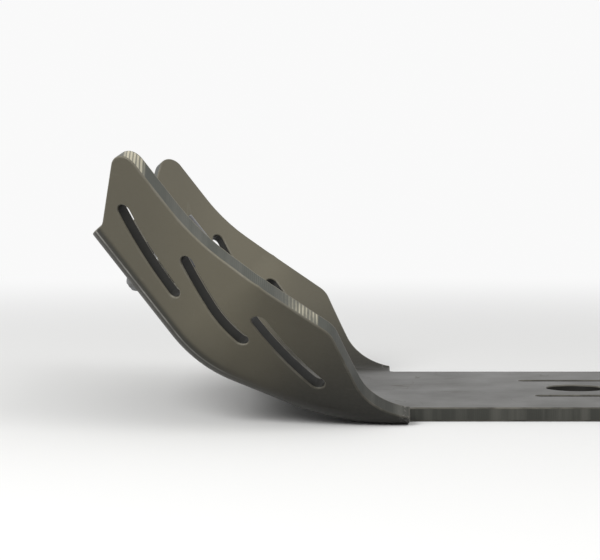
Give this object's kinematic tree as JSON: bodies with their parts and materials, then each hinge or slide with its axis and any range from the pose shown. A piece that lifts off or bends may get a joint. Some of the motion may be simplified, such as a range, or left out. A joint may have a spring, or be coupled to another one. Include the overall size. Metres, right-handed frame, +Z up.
{
  "type": "motorcycle skid plate",
  "caption": "Formed black plastic skid plate with a flat floor, a climbing front, flared slotted wings with ears, and steel hooks, screws and nuts that hold it to cradle tubes.",
  "frame": {"origin": "under the middle of the plate's length and width, on the underside of its flat floor", "axes": "+X points to the front of the motorcycle, +Y to its left, +Z up"},
  "size_m": [0.4324, 0.3414, 0.1499],
  "materials": {
    "sheet": "satin black thick plastic sheet with a fine grain, cut edges machined",
    "hook": "black coated pressed steel",
    "zinc": "zinc plated steel"
  },
  "bodies": {
    "root": {"plate": "sheet", "front_screw_left": "zinc", "front_screw_right": "zinc", "front_washer_left": "zinc", "front_washer_right": "zinc", "front_hook_left": "hook", "front_hook_right": "hook", "front_nut_left": "zinc", "front_nut_right": "zinc", "rear_screw_left": "zinc", "rear_screw_right": "zinc", "rear_hook_left": "hook", "rear_hook_right": "hook", "rear_nut_left": "zinc", "rear_nut_right": "zinc"}
  },
  "joints": []
}
